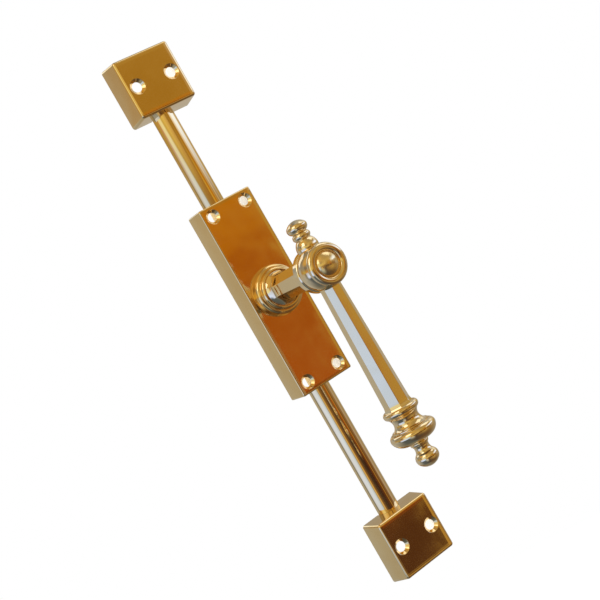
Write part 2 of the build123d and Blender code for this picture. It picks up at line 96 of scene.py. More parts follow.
makeCamera(cameraView)
print("camera placed")


def newMaterial(name):
    material = bpy.data.materials.new(name)
    material.use_nodes = True
    tree = material.node_tree
    tree.nodes.clear()
    output = tree.nodes.new("ShaderNodeOutputMaterial")
    shader = tree.nodes.new("ShaderNodeBsdfPrincipled")
    tree.links.new(shader.outputs["BSDF"], output.inputs["Surface"])
    return material, tree, shader


def addNode(tree, kind, inputs=None, **settings):
    node = tree.nodes.new(kind)
    for key, value in settings.items():
        setattr(node, key, value)
    for key, value in (inputs or {}).items():
        if isinstance(value, bpy.types.NodeSocket):
            tree.links.new(value, node.inputs[key])
        else:
            node.inputs[key].default_value = value
    return node


def rampNode(tree, factor, stops):
    node = tree.nodes.new("ShaderNodeValToRGB")
    node.color_ramp.interpolation = "EASE"
    elements = node.color_ramp.elements
    while len(elements) > 1:
        elements.remove(elements[-1])
    elements[0].position, elements[0].color = stops[0][0], (*stops[0][1], 1)
    for position, colour in stops[1:]:
        elements.new(position).color = (*colour, 1)
    tree.links.new(factor, node.inputs["Fac"])
    return node


def mathNode(tree, operation, first, second=0.0, third=0.0):
    return addNode(tree, "ShaderNodeMath", {0: first, 1: second, 2: third}, operation=operation).outputs[0]


def mixColour(tree, amount, first, colour):
    node = tree.nodes.new("ShaderNodeMix")
    node.data_type = "RGBA"
    tree.links.new(amount, node.inputs["Factor"])
    tree.links.new(first, node.inputs[6])
    node.inputs[7].default_value = (*colour, 1)
    return node.outputs[2]


def grey(value):
    return (value, value, value)


# how far the polishing lines are drawn out: "long" ones along Z, "flat" ones over a face
lineStretch = {"long": (1.0, 1.0, 0.012), "flat": (1.0, 0.3, 0.05)}


def polishCoordinates(tree, finish):
    # the "turned" lines go round an axis instead
    place = addNode(tree, "ShaderNodeTexCoord").outputs["Object"]
    centre = [-v * mm for v in finish["centre"]]
    centred = addNode(tree, "ShaderNodeMapping", {"Vector": place, "Location": centre})
    if finish["lines"] == "turned":
        parts = addNode(tree, "ShaderNodeSeparateXYZ", {0: centred.outputs[0]})
        axis = finish["axis"]
        across = [parts.outputs[i] for i in range(3) if i != axis]
        squares = [mathNode(tree, "MULTIPLY", part, part) for part in across]
        radius = mathNode(tree, "SQRT", mathNode(tree, "ADD", squares[0], squares[1]))
        rings = addNode(tree, "ShaderNodeCombineXYZ", {0: radius, 1: parts.outputs[axis]})
        return place, rings.outputs[0], (1.0, 1.0, 1.0)
    return place, centred.outputs[0], lineStretch[finish["lines"]]


# shared by every brass; hollows and raised edges are ranges of Pointiness, the others of noise. Hollows
# darken with tarnish and painted shade; raised edges get a painted highlight
polish = {
    "toneRange": (0.30, 0.62), "hollowRange": (0.42, 0.495), "raisedRange": (0.52, 0.60),
    "speckScale": 900.0, "speckRange": (0.66, 0.74), "smudgeRange": (0.35, 0.75), "dirtRoughness": 0.25,
    "coatRoughness": 0.04, "coatIor": 1.45,
}


def rangeNode(tree, value, source, target):
    return addNode(tree, "ShaderNodeMapRange", {
        "Value": value, "From Min": source[0], "From Max": source[1],
        "To Min": target[0], "To Max": target[1]})


def brass(name, finish):
    material, tree, shader = newMaterial(name)
    place, lineSpace, stretch = polishCoordinates(tree, finish)
    stretched = addNode(tree, "ShaderNodeMapping", {"Vector": lineSpace, "Scale": stretch})
    lines = addNode(tree, "ShaderNodeTexNoise", {
        "Vector": stretched.outputs[0], "Scale": finish["lineScale"], "Detail": 3.0, "Roughness": 0.6})
    clouds = addNode(tree, "ShaderNodeTexNoise", {
        "Vector": place, "Scale": finish["cloudScale"], "Detail": 4.0, "Roughness": 0.55,
        "Distortion": 0.6})
    specks = addNode(tree, "ShaderNodeTexNoise", {
        "Vector": place, "Scale": polish["speckScale"], "Detail": 2.0, "Roughness": 0.7})
    waves = addNode(tree, "ShaderNodeTexNoise", {
        "Vector": place, "Scale": finish["waveScale"], "Detail": 1.0})
    edges = addNode(tree, "ShaderNodeNewGeometry").outputs["Pointiness"]

    toneStops = list(zip(polish["toneRange"], (finish["deepColour"], finish["colour"])))
    toned = rampNode(tree, clouds.outputs["Fac"], toneStops)
    # hollows, picked out by Pointiness, darken: tarnish together with painted shade
    hollow = rangeNode(tree, edges, polish["hollowRange"], (finish["tarnish"], 0.0))
    spot = rangeNode(tree, specks.outputs["Fac"], polish["speckRange"], (0.0, finish["speckle"]))
    # one darkening mask: random dirt specks, and tarnish with painted shade in the hollows
    dirtAndShade = mathNode(tree, "MAXIMUM", hollow.outputs[0], spot.outputs[0])
    tarnished = mixColour(tree, dirtAndShade, toned.outputs[0], finish["tarnishColour"])
    # painted highlight: raised edges, picked out by Pointiness, turn pale cream
    paintedEdgeHighlight = rangeNode(tree, edges, polish["raisedRange"], (0.0, finish["edgeHighlightStrength"]))
    brightened = mixColour(tree, paintedEdgeHighlight.outputs[0], tarnished, finish["edgeHighlightColour"])
    tree.links.new(brightened, shader.inputs["Base Color"])

    smudge = rangeNode(tree, clouds.outputs["Fac"], polish["smudgeRange"], finish["roughness"])
    lined = mathNode(tree, "MULTIPLY_ADD", lines.outputs["Fac"], finish["lineRoughness"], smudge.outputs[0])
    dulled = mathNode(tree, "MULTIPLY_ADD", dirtAndShade, polish["dirtRoughness"], lined)
    tree.links.new(dulled, shader.inputs["Roughness"])

    slow = addNode(tree, "ShaderNodeBump", {
        "Strength": 1.0, "Distance": finish["waveDepth"] * mm, "Height": waves.outputs["Fac"]})
    fine = addNode(tree, "ShaderNodeBump", {
        "Strength": 1.0, "Distance": finish["lineDepth"] * mm, "Height": lines.outputs["Fac"],
        "Normal": slow.outputs[0]})
    tree.links.new(fine.outputs[0], shader.inputs["Normal"])
    shader.inputs["Metallic"].default_value = 1.0
    shader.inputs["Coat Weight"].default_value = finish["coat"]
    shader.inputs["Coat Roughness"].default_value = polish["coatRoughness"]
    shader.inputs["Coat IOR"].default_value = polish["coatIor"]
    return material


def finishLike(base, **changes):
    return {**base, **changes}


stemLow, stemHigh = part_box("handle_stem")
handleReach = -(stemLow.y + stemHigh.y) / 2 / mm   # the handle's axis, in front of the back plane
polishedBrass = {
    "lines": "flat", "centre": (0, 0, 0), "axis": 2,
    "colour": (0.91, 0.69, 0.35), "deepColour": (0.88, 0.65, 0.31),
    # dark colour for dirt specks and for tarnish with painted shade in hollows
    "tarnishColour": (0.20, 0.11, 0.04), "tarnish": 0.55, "speckle": 0.08,
    # colour and strength of the painted highlight on raised edges
    "edgeHighlightColour": (1.0, 0.88, 0.60), "edgeHighlightStrength": 0.5,
    "roughness": (0.05, 0.11), "lineRoughness": 0.03,
    "lineScale": 900.0, "lineDepth": 0.0012, "cloudScale": 45.0, "waveScale": 60.0, "waveDepth": 0.02,
    "coat": 0.15,
}
turnedBrass = finishLike(polishedBrass, lines="turned", axis=1, lineScale=1800.0, lineDepth=0.004,
                         waveDepth=0.01)
paleGold = {"colour": (0.93, 0.78, 0.51), "deepColour": (0.90, 0.74, 0.46)}
brassFinishes = {
    "caseBrass": finishLike(polishedBrass, waveDepth=0.14, lineDepth=0.0005),
    "keepBrass": finishLike(polishedBrass, cloudScale=60.0, waveDepth=0.08, lineDepth=0.0005,
                            roughness=(0.04, 0.08)),
    "rodBrass": finishLike(polishedBrass, lines="long", lineScale=1500.0, lineDepth=0.0008, waveDepth=0.008,
                           roughness=(0.03, 0.06), lineRoughness=0.015),
    "stemBrass": finishLike(polishedBrass, lines="long", centre=(0, -handleReach, 0), waveDepth=0.05,
                            colour=(0.93, 0.79, 0.53), deepColour=(0.90, 0.75, 0.48)),
    "rosetteBrass": finishLike(turnedBrass, colour=(0.92, 0.69, 0.34), deepColour=(0.88, 0.64, 0.30)),
    "frontTurnedBrass": finishLike(turnedBrass, **paleGold),
    "buttonBrass": finishLike(turnedBrass, roughness=(0.17, 0.22), lineRoughness=0.02, coat=0.05,
                              colour=(0.95, 0.78, 0.44), deepColour=(0.93, 0.74, 0.38)),
    "handleTurnedBrass": finishLike(turnedBrass, axis=2, centre=(0, -handleReach, 0), **paleGold),
    # the inside: near-white, with a painted glow set below
    "paleGlowingInside": finishLike(polishedBrass, colour=(0.97, 0.95, 0.90), deepColour=(0.93, 0.90, 0.82),
                             tarnish=0.2, roughness=(0.45, 0.6), lineDepth=0.03, coat=0.0),
    "rackBrass": finishLike(polishedBrass, lines="long", roughness=(0.22, 0.34), lineDepth=0.02, coat=0.0,
                            colour=(0.78, 0.58, 0.30), deepColour=(0.66, 0.46, 0.22)),
}
materials = {name: brass(name, finish) for name, finish in brassFinishes.items()}
# the hollows are coloured near-white and given a painted glow; both stand in for the light that comes in
# from the open back
insideGlowLook = {"Metallic": 0.05, "Emission Color": (1.0, 0.97, 0.92, 1.0), "Emission Strength": 0.2}
insideShader = materials["paleGlowingInside"].node_tree.nodes["Principled BSDF"]
for socket, value in insideGlowLook.items():
    insideShader.inputs[socket].default_value = value

steelFinishes = {
    "platedSteel": {
        "colour": (0.62, 0.60, 0.55), "deepColour": (0.48, 0.46, 0.42), "roughness": (0.28, 0.42),
        "stretch": (1.0, 1.0, 0.03), "scale": 1400.0, "depth": 0.006},
    "screwSteel": {
        "colour": (0.66, 0.66, 0.66), "deepColour": (0.45, 0.45, 0.46), "roughness": (0.22, 0.36),
        "stretch": (1.0, 1.0, 1.0), "scale": 2200.0, "depth": 0.004},
    "machinedSteel": {
        "colour": (0.56, 0.56, 0.57), "deepColour": (0.34, 0.33, 0.33), "roughness": (0.24, 0.40),
        "stretch": (1.0, 0.1, 1.0), "scale": 1800.0, "depth": 0.008},
}


def steel(name, finish):
    material, tree, shader = newMaterial(name)
    place = addNode(tree, "ShaderNodeTexCoord").outputs["Object"]
    stretched = addNode(tree, "ShaderNodeMapping", {"Vector": place, "Scale": finish["stretch"]})
    lines = addNode(tree, "ShaderNodeTexNoise", {
        "Vector": stretched.outputs[0], "Scale": finish["scale"], "Detail": 4.0, "Roughness": 0.65})
    patches = addNode(tree, "ShaderNodeTexNoise", {"Vector": place, "Scale": 70.0, "Detail": 5.0})
    toned = rampNode(tree, patches.outputs["Fac"], [(0.35, finish["deepColour"]), (0.6, finish["colour"])])
    tree.links.new(toned.outputs[0], shader.inputs["Base Color"])
    rough = rangeNode(tree, lines.outputs["Fac"], (0.0, 1.0), finish["roughness"])
    tree.links.new(rough.outputs[0], shader.inputs["Roughness"])
    bump = addNode(tree, "ShaderNodeBump", {
        "Strength": 1.0, "Distance": finish["depth"] * mm, "Height": lines.outputs["Fac"]})
    tree.links.new(bump.outputs[0], shader.inputs["Normal"])
    shader.inputs["Metallic"].default_value = 1.0
    return material


materials.update({name: steel(name, finish) for name, finish in steelFinishes.items()})
print("materials made:", len(materials))


def arcThrough(first, middle, last, steps=14):
    # points along the circle through three points, without the first one
    (ax, ay), (bx, by), (cx, cy) = first, middle, last
    d = 2 * (ax * (by - cy) + bx * (cy - ay) + cx * (ay - by))
    a2, b2, c2 = ax * ax + ay * ay, bx * bx + by * by, cx * cx + cy * cy
    ox = (a2 * (by - cy) + b2 * (cy - ay) + c2 * (ay - by)) / d
    oy = (a2 * (cx - bx) + b2 * (ax - cx) + c2 * (bx - ax)) / d
    start = math.atan2(ay - oy, ax - ox)
    turn = (math.atan2(cy - oy, cx - ox) - start) % math.tau
    halfway = (math.atan2(by - oy, bx - ox) - start) % math.tau
    if halfway > turn:
        turn -= math.tau
    radius = math.hypot(ax - ox, ay - oy)
    angles = [start + turn * i / steps for i in range(1, steps + 1)]
    return [(ox + radius * math.cos(angle), oy + radius * math.sin(angle)) for angle in angles]


def domeEnd(edgeRadius, edgeLevel, topLevel):
    # a spherical cap from the edge up to the axis, as one arc entry of an outline
    rise = topLevel - edgeLevel
    sphere = (edgeRadius ** 2 + rise ** 2) / (2 * rise)
    half = math.asin(edgeRadius / abs(sphere)) / 2
    return (abs(sphere) * math.sin(half), topLevel - sphere * (1 - math.cos(half)), 0.0, topLevel)


def outlinePoints(outline, datum=0.0):
    # two numbers are a straight run to a point, four are an arc by way of the first pair
    points = [outline[0]]
    for entry in outline[1:]:
        if len(entry) == 2:
            points.append(entry)
        else:
            points += arcThrough(points[-1], entry[:2], entry[2:])
    return [(radius, datum + level) for radius, level in points]


# turns gentler than this many degrees aren't corners; a corner takes up to this share of its sides
corners = {"gentle": 14, "share": 0.45, "steps": 4}


def softenCorners(points, size, closed):
    count = len(points)
    result = []
    for i, point in enumerate(points):
        if not closed and i in (0, count - 1):
            result.append(Vector(point))
            continue
        here, before, after = Vector(point), Vector(points[i - 1]), Vector(points[(i + 1) % count])
        inward, outward = before - here, after - here
        if inward.length < 1e-6 or outward.length < 1e-6:
            continue
        if abs(math.pi - inward.angle(outward)) < math.radians(corners["gentle"]):
            result.append(here)
            continue
        reach = min(size, inward.length * corners["share"], outward.length * corners["share"])
        start, end = here + inward.normalized() * reach, here + outward.normalized() * reach
        for step in range(corners["steps"] + 1):
            t = step / corners["steps"]
            result.append(start * (1 - t) ** 2 + here * 2 * t * (1 - t) + end * t ** 2)
    return [tuple(point) for point in result]


def sharpenAndFinish(piece, limit=32.0):
    # hard edges stay hard, everything gentler is smooth
    tidy = bmesh.new()
    tidy.from_mesh(piece.data)
    bmesh.ops.remove_doubles(tidy, verts=tidy.verts, dist=1e-6)
    bmesh.ops.recalc_face_normals(tidy, faces=tidy.faces)
    for face in tidy.faces:
        face.smooth = True
    for edge in tidy.edges:
        edge.smooth = len(edge.link_faces) == 2 and edge.calc_face_angle(0) < math.radians(limit)
    tidy.to_mesh(piece.data)
    tidy.free()
    weighted = piece.modifiers.new("weighted", "WEIGHTED_NORMAL")
    weighted.keep_sharp = True
    return applyModifiers(piece)


def finishMesh(name, mesh):
    piece = bpy.data.objects.new(name, mesh)
    scene.collection.objects.link(piece)
    return sharpenAndFinish(piece)


def applyModifiers(piece):
    bpy.context.view_layer.update()
    evaluated = piece.evaluated_get(bpy.context.evaluated_depsgraph_get())
    solid = bpy.data.meshes.new_from_object(evaluated)
    piece.modifiers.clear()
    piece.data = solid
    return piece


def latheMesh(name, points, place, segments=128, soften=0.18):
    # place(radius, level, angle) gives the point in the frame, in millimetres
    onAxis = points[0][0] < 1e-6 and points[-1][0] < 1e-6
    points = softenCorners(points, soften, closed=not onAxis)
    mesh = bpy.data.meshes.new(name)
    rows = []
    verts = []
    for radius, level in points:
        if radius < 1e-6:
            rows.append([len(verts)] * segments)
            verts.append([v * mm for v in place(0.0, level, 0.0)])
            continue
        rows.append(list(range(len(verts), len(verts) + segments)))
        verts += [[v * mm for v in place(radius, level, math.tau * s / segments)] for s in range(segments)]
    faces = []
    pairs = list(zip(rows, rows[1:])) + ([] if onAxis else [(rows[-1], rows[0])])
    for low, high in pairs:
        for s in range(segments):
            following = (s + 1) % segments
            face = list(dict.fromkeys([low[s], low[following], high[following], high[s]]))
            if len(face) > 2:
                faces.append(face)
    mesh.from_pydata(verts, [], faces)
    return mesh


def aroundPoint(x, z):
    # turns a shape round the axis that runs forwards through (x, z)
    return lambda radius, forward, angle: (
        x + radius * math.cos(angle), -forward, z + radius * math.sin(angle))


aroundSpindle = aroundPoint(0.0, 0.0)


def aroundHandle(radius, height, angle):
    return (radius * math.cos(angle), -handleReach + radius * math.sin(angle), height)


def ringsMesh(name, rings):
    # rings of points, all the same length, skinned and capped
    mesh = bpy.data.meshes.new(name)
    count = len(rings[0])
    verts = [[v * mm for v in point] for ring in rings for point in ring]
    faces = []
    for row in range(len(rings) - 1):
        here, beyond = row * count, (row + 1) * count
        for i in range(count):
            following = (i + 1) % count
            faces.append([here + i, here + following, beyond + following, beyond + i])
    faces.append(list(range(count)))
    faces.append([(len(rings) - 1) * count + i for i in range(count)])
    mesh.from_pydata(verts, [], faces)
    return mesh


shownPieces = []


def settle(piece, body, slotName, material, *nodes):
    piece.data.materials.clear()
    piece.data.materials.append(materials[material])
    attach(piece, body)
    if nodes:
        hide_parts(*nodes)
    shownPieces.append(piece.name)


def newShapeTree(name, sizes):
    # a Geometry Nodes tree with one named input for each size
    tree = bpy.data.node_groups.new(name, "GeometryNodeTree")
    tree.interface.new_socket("Geometry", in_out="OUTPUT", socket_type="NodeSocketGeometry")
    for size, kind in sizes.items():
        tree.interface.new_socket(size, in_out="INPUT", socket_type="NodeSocket" + kind)
    return tree, tree.nodes.new("NodeGroupInput").outputs


def finishTree(tree, geometry, material):
    realized = addNode(tree, "GeometryNodeRealizeInstances", {"Geometry": geometry})
    dressed = addNode(tree, "GeometryNodeSetMaterial", {
        "Geometry": realized.outputs[0], "Material": material})
    output = tree.nodes.new("NodeGroupOutput")
    tree.links.new(dressed.outputs[0], output.inputs[0])


def growPiece(name, tree, values):
    # runs the tree with these values and keeps the result as a plain mesh
    piece = bpy.data.objects.new(name, bpy.data.meshes.new(name))
    scene.collection.objects.link(piece)
    modifier = piece.modifiers.new("shape", "NODES")
    modifier.node_group = tree
    for socket in tree.interface.items_tree:
        if socket.in_out == "INPUT":
            modifier[socket.identifier] = values[socket.name]
    return sharpenAndFinish(applyModifiers(piece))


faceLevel = -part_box("rosette")[1].y / mm      # how far the case's face stands in front of the back plane
rosetteTop = -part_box("rosette")[0].y / mm
headBack = -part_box("handle_head")[1].y / mm

spindleTurned = {
    # outlines are (radius, distance in front of the datum); four numbers are an arc by way of the first pair
    "rosetteRing": {
        "datum": faceLevel, "node": "rosette", "body": "case", "finish": "rosetteBrass",
        "outline": [
            (10.2, 0.0), (14.8, 0.0), (14.8, 0.8), (14.4, 3.0), (13.9, 4.7, 12.6, 5.5), (10.2, 5.5)]},
    "neckBush": {
        "datum": rosetteTop, "node": "neck_bush", "body": "case", "finish": "rosetteBrass",
        "outline": [
            (8.05, -5.4), (10.2, -5.4), (10.2, 0.0), (12.0, 0.0), (12.1, 1.6, 10.4, 2.7), (10.4, 2.1),
            (8.05, 2.1)]},
    "headDrum": {
        "datum": headBack, "node": "handle_head", "body": "handle", "finish": "frontTurnedBrass",
        "outline": [
            (0.0, 0.0), (12.0, 0.0), (12.45, 0.5), (12.5, 4.5), (12.0, 5.1), (12.75, 9.4, 11.2, 14.4),
            (10.4, 18.0, 7.0, 16.8), (0.0, 16.8)]},
    "headButton": {
        "datum": headBack, "node": "head_button", "body": "handle", "finish": "buttonBrass",
        "outline": [
            (0.0, 11.0), (2.6, 11.0), (2.6, 16.8), (6.7, 16.8), (6.7, 17.3), domeEnd(6.7, 17.3, 20.4)]},
}
for name, spec in spindleTurned.items():
    mesh = latheMesh(name, outlinePoints(spec["outline"], spec["datum"]), aroundSpindle)
    settle(finishMesh(name, mesh), spec["body"], "handle_brass", spec["finish"], spec["node"])
print("spindle pieces turned")

# the handle's own pieces: heights count up from the joint that is the datum
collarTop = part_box("stem_collar")[1].z / mm
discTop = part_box("end_disc")[1].z / mm
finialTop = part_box("lower_finial")[1].z / mm
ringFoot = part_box("upper_ring")[0].z / mm
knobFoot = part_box("upper_knob")[0].z / mm

handleTurned = {
    "stemCollar": {"datum": collarTop, "node": "stem_collar", "outline": [
        (2.5, 0.0), (9.2, 0.0), (10.3, -1.9, 9.2, -3.8), (8.6, -4.3), (7.45, -8.0, 9.7, -11.4),
        (10.4, -11.4), (10.4, -12.1), (2.5, -12.1)]},
    "endDisc": {"datum": discTop, "node": "end_disc", "outline": [
        (2.5, 0.0), (11.0, 0.0), (12.8, -1.4, 13.2, -3.5), (11.4, -6.6, 7.4, -8.3), (2.5, -8.3)]},
    "lowerFinial": {"datum": finialTop, "node": "lower_finial", "outline": [
        (0.0, 0.0), (4.6, 0.0), (5.3, -1.2, 4.6, -2.4), (4.3, -3.0), (4.3, -5.0, 4.9, -6.6),
        (6.6, -9.6, 5.9, -12.2), domeEnd(5.9, -12.2, -15.0)]},
    "upperUrn": {"datum": ringFoot, "node": "upper_finial", "outline": [
        (0.0, -9.0), (6.1, -9.0), (6.1, -6.6), (6.0, -3.0, 4.1, 0.0), (0.0, 0.0)]},
    "upperBead": {"datum": ringFoot, "node": "upper_ring", "outline": [
        (2.5, 0.0), (4.1, 0.0), (5.1, 1.9, 3.9, 3.7), (2.5, 3.7)]},
    "upperKnob": {"datum": knobFoot, "node": "upper_knob", "outline": [
        (0.0, 0.0), (3.9, 0.0), (4.6, 0.5), (5.8, 2.2, 5.5, 4.4), domeEnd(5.5, 4.4, 7.0)]},
}
for name, spec in handleTurned.items():
    mesh = latheMesh(name, outlinePoints(spec["outline"], spec["datum"]), aroundHandle)
    settle(finishMesh(name, mesh), "handle", "handle_brass", "handleTurnedBrass", spec["node"])
print("handle pieces turned")

eighth = math.tau / 8   # the neck and the grip are eight-sided


def octagonReach(width, angle, rounding):
    # distance to the edge of a rounded octagon whose flats are 'width' apart
    offset = (angle + eighth / 2) % eighth - eighth / 2
    inner = width / 2 - rounding
    corner = inner / math.cos(eighth / 2)
    flatLimit = math.atan2(inner * math.tan(eighth / 2), width / 2)
    if abs(offset) <= flatLimit:
        return width / 2 / math.cos(offset)
    gap = eighth / 2 - abs(offset)
    return corner * math.cos(gap) + math.sqrt(max(rounding ** 2 - (corner * math.sin(gap)) ** 2, 0))


def octagonAngles(width, rounding, cornerSteps=8):
    # sample angles: the ends of each flat, and closely round each corner
    inner = width / 2 - rounding
    limit = math.atan2(inner * math.tan(eighth / 2), width / 2)
    angles = []
    for side in range(8):
        middle = side * eighth
        angles += [middle + limit * t for t in (-1, -0.5, 0, 0.5, 1)]
        angles += [middle + limit + (eighth - 2 * limit) * t / cornerSteps for t in range(1, cornerSteps)]
    return angles


grip = {"top": -8.0, "topWidth": 10.9, "flareStart": -79.6, "bottomWidth": 13.95, "flareWidth": 15.5,
        "flarePower": 2.6, "rounding": 0.45, "steps": 181}
neck = {"footWidth": 14.8, "headWidth": 15.8, "rounding": 0.5, "spigotRadius": 8.0, "spigotClearance": 0.3,
        "flangeRadius": 10.1, "flangeRise": 2.2, "flangeThickness": 0.5, "lipRounding": 0.15,
        "flareLength": 5.9, "flarePower": 1.3, "flareSteps": 16}


def makeGripTree():
    # an eight-sided section swept down the handle, widening evenly and then flaring at its foot
    tree, size = newShapeTree("flaredOctagonBar", {
        "Reach": "Float", "Top": "Float", "Bottom": "Float", "Flare Start": "Float", "Top Width": "Float",
        "Bottom Width": "Float", "Flare Width": "Float", "Flare Power": "Float", "Rounding": "Float",
        "Steps": "Int", "Material": "Material"})
    forward = mathNode(tree, "MULTIPLY", size["Reach"], -1.0)
    ends = [addNode(tree, "ShaderNodeCombineXYZ", {1: forward, 2: size[name]}).outputs[0]
            for name in ("Top", "Bottom")]
    line = addNode(tree, "GeometryNodeCurvePrimitiveLine", {"Start": ends[0], "End": ends[1]})
    path = addNode(tree, "GeometryNodeResampleCurve", {"Curve": line.outputs[0], "Count": size["Steps"]})
    position = addNode(tree, "GeometryNodeInputPosition")
    height = addNode(tree, "ShaderNodeSeparateXYZ", {0: position.outputs[0]}).outputs[2]
    straight = addNode(tree, "ShaderNodeMapRange", {
        "Value": height, "From Min": size["Flare Start"], "From Max": size["Top"],
        "To Min": size["Bottom Width"], "To Max": size["Top Width"]})
    along = addNode(tree, "ShaderNodeMapRange", {
        "Value": height, "From Min": size["Flare Start"], "From Max": size["Bottom"]})
    growth = mathNode(tree, "POWER", along.outputs[0], size["Flare Power"])
    extra = mathNode(tree, "SUBTRACT", size["Flare Width"], size["Bottom Width"])
    width = mathNode(tree, "MULTIPLY_ADD", growth, extra, straight.outputs[0])
    half = mathNode(tree, "MULTIPLY", width, 0.5)
    # the section is one unit from its middle to each flat, and is scaled along the path
    circle = addNode(tree, "GeometryNodeCurvePrimitiveCircle", {
        "Resolution": 8, "Radius": 1 / math.cos(eighth / 2)})
    turned = addNode(tree, "GeometryNodeTransform", {
        "Geometry": circle.outputs[0], "Rotation": (0, 0, eighth / 2)})
    halfBottom = mathNode(tree, "MULTIPLY", size["Bottom Width"], 0.5)
    corner = mathNode(tree, "DIVIDE", size["Rounding"], halfBottom)
    section = addNode(tree, "GeometryNodeFilletCurve", {
        "Curve": turned.outputs[0], "Count": 7, "Radius": corner}, mode="POLY")
    bar = addNode(tree, "GeometryNodeCurveToMesh", {
        "Curve": path.outputs[0], "Profile Curve": section.outputs[0], "Scale": half, "Fill Caps": True})
    finishTree(tree, bar.outputs[0], size["Material"])
    return tree


def neckWidthAt(spec, level):
    # the neck widens evenly from its foot to the head
    share = (level - rosetteTop) / (headBack - rosetteTop)
    return spec["footWidth"] + (spec["headWidth"] - spec["footWidth"]) * share


def makeNeck(spec):
    flange = rosetteTop + spec["flangeRise"]
    flareFoot = flange + spec["flangeThickness"]
    flareEnd = flareFoot + spec["flareLength"]
    outer, ease = spec["flangeRadius"], spec["lipRounding"]
    lip = outer - ease
    angles = octagonAngles(spec["footWidth"], spec["rounding"])
    levels = [(faceLevel + spec["spigotClearance"], spec["spigotRadius"]), (flange, spec["spigotRadius"]),
              (flange, lip), (flange + ease, outer), (flareFoot - ease, outer), (flareFoot, lip)]
    rings = [[aroundSpindle(radius, level, a) for a in angles] for level, radius in levels]
    for step in range(1, spec["flareSteps"] + 1):
        t = step / spec["flareSteps"]
        # the foot is a hollow curve: round at the flange, eight-sided where the flats begin
        spread = (1 - math.sin(t * math.pi / 2)) ** spec["flarePower"]
        width = spec["footWidth"] + t * (neckWidthAt(spec, flareEnd) - spec["footWidth"])
        sides = [octagonReach(width, a, spec["rounding"]) for a in angles]
        rings.append([aroundSpindle(side + (lip - side) * spread, flareFoot + spec["flareLength"] * t, a)
                      for side, a in zip(sides, angles)])
    headSides = [octagonReach(spec["headWidth"], a, spec["rounding"]) for a in angles]
    rings.append([aroundSpindle(side, headBack, a) for side, a in zip(headSides, angles)])
    return ringsMesh("neckArm", rings)


gripStem = growPiece("gripStem", makeGripTree(), {
    "Reach": handleReach * mm, "Top": grip["top"] * mm, "Bottom": collarTop * mm,
    "Flare Start": grip["flareStart"] * mm, "Top Width": grip["topWidth"] * mm,
    "Bottom Width": grip["bottomWidth"] * mm, "Flare Width": grip["flareWidth"] * mm,
    "Flare Power": grip["flarePower"], "Rounding": grip["rounding"] * mm, "Steps": grip["steps"],
    "Material": materials["stemBrass"]})
settle(gripStem, "handle", "handle_brass", "stemBrass", "handle_stem")
settle(finishMesh("neckArm", makeNeck(neck)), "handle", "handle_brass", "frontTurnedBrass", "handle_neck")
print("neck and grip made")

rod = {
    "radius": 7.0, "flat": 1.0, "rounding": 0.5, "flatInset": 0.4, "arcSteps": 72,
    "endChamfer": [(0.8, 0.0), (0.68, 0.06), (0.1, 0.7), (0.0, 0.8)],   # (back from the end, inset)
    "cutForward": 3.3, "cutLength": 16.0, "cutHalfWidth": 8.0, "cutOverrun": 1.0,
}


def rodSection(spec, inset=0.0):
    radius = spec["radius"] - inset
    flatAt = -spec["flat"] - inset * spec["flatInset"]
    steps = spec["arcSteps"]
    outline = [(radius, flatAt)]
    outline += [(radius * math.cos(a), -spec["flat"] - radius * math.sin(a))
                for a in [math.pi * i / steps for i in range(1, steps)]]
    outline += [(-radius, flatAt)]
    return softenCorners(outline, spec["rounding"], closed=True)


def makeRod(name, node, direction, spec):
    low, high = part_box(node)
    start, end = (low.z, high.z) if direction > 0 else (high.z, low.z)
    start, end = start / mm, end / mm
    levels = [(start, 0.0)] + [(end - direction * back, inset) for back, inset in spec["endChamfer"]]
    rings = [[(x, y, level) for x, y in rodSection(spec, inset)] for level, inset in levels]
    piece = bpy.data.objects.new(name, ringsMesh(name, rings))
    scene.collection.objects.link(piece)
    # the rack lies in a step cut into the back of the rod's inner end
    side, overrun = spec["cutHalfWidth"], spec["cutOverrun"]
    cutLow, cutHigh = sorted((start - direction * overrun, start + direction * spec["cutLength"]))
    cutDepth = spec["flat"] + spec["cutForward"]
    cutOut(piece, [boxMesh("rodCut", (-side, -cutDepth, cutLow), (side, overrun, cutHigh))])
    return sharpenAndFinish(piece)


def boxMesh(name, low, high):
    mesh = bpy.data.meshes.new(name)
    xs, ys, zs = [(low[i] * mm, high[i] * mm) for i in range(3)]
    verts = [(x, y, z) for x in xs for y in ys for z in zs]
    faces = [(0, 1, 3, 2), (4, 6, 7, 5), (0, 4, 5, 1), (2, 3, 7, 6), (0, 2, 6, 4), (1, 5, 7, 3)]
    mesh.from_pydata(verts, [], faces)
    return mesh


def cutOut(piece, cutterMeshes):
    # subtract each cutter in turn, then make the result a plain mesh
    for mesh in cutterMeshes:
        tidy = bmesh.new()
        tidy.from_mesh(mesh)
        bmesh.ops.remove_doubles(tidy, verts=tidy.verts, dist=1e-7)
        bmesh.ops.recalc_face_normals(tidy, faces=tidy.faces)
        tidy.to_mesh(mesh)
        tidy.free()
        cutter = bpy.data.objects.new("cutter", mesh)
        scene.collection.objects.link(cutter)
        modifier = piece.modifiers.new("cut", "BOOLEAN")
        modifier.operation = "DIFFERENCE"
        modifier.solver = "EXACT"
        modifier.object = cutter
        applyModifiers(piece)
        bpy.data.objects.remove(cutter)
        bpy.data.meshes.remove(mesh)


for name, node, body, direction in (("upperHalfRound", "upper_rod", "upper_bolt", 1),
                                    ("lowerHalfRound", "lower_rod", "lower_bolt", -1)):
    settle(makeRod(name, node, direction, rod), body, "rod_brass", "rodBrass", node)
print("rods made")

screwHoles = {mount["name"]: mount["dims"] for mount in frame["record"]["mounts"]}


